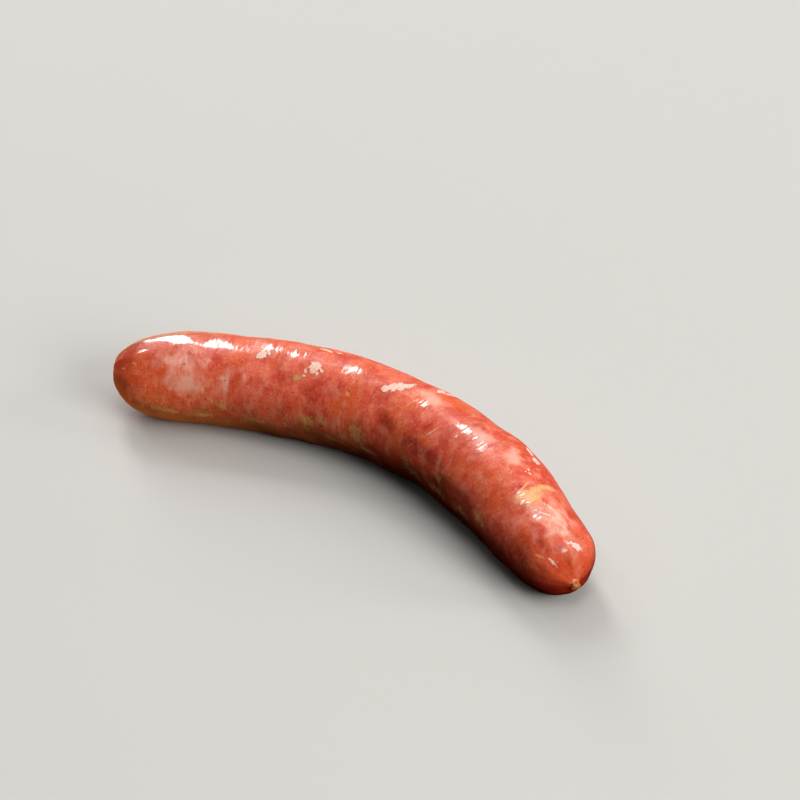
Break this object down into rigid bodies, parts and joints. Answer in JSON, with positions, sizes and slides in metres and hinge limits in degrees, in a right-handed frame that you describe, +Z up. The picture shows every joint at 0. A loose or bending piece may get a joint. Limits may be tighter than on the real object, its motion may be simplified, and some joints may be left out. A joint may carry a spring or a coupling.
{
  "type": "cooked sausage link",
  "caption": "Plump cooked pork sausage bent like a shallow bow, in a glossy natural casing, with one tucked tip and one knotted tip.",
  "frame": {"origin": "middle of the box round the sausage, on the surface it rests on", "axes": "+X along the chord from the tucked left tip to the knotted right tip, +Y towards the outside of the bow, +Z up"},
  "size_m": [0.181, 0.0544, 0.0306],
  "materials": {
    "cooked_casing": "pinkish red cooked meat seen through a thin, oily, glossy natural casing, with pale fat flecks and cream patches of dried casing"
  },
  "bodies": {
    "root": {"sausage_link": "cooked_casing"}
  },
  "joints": []
}
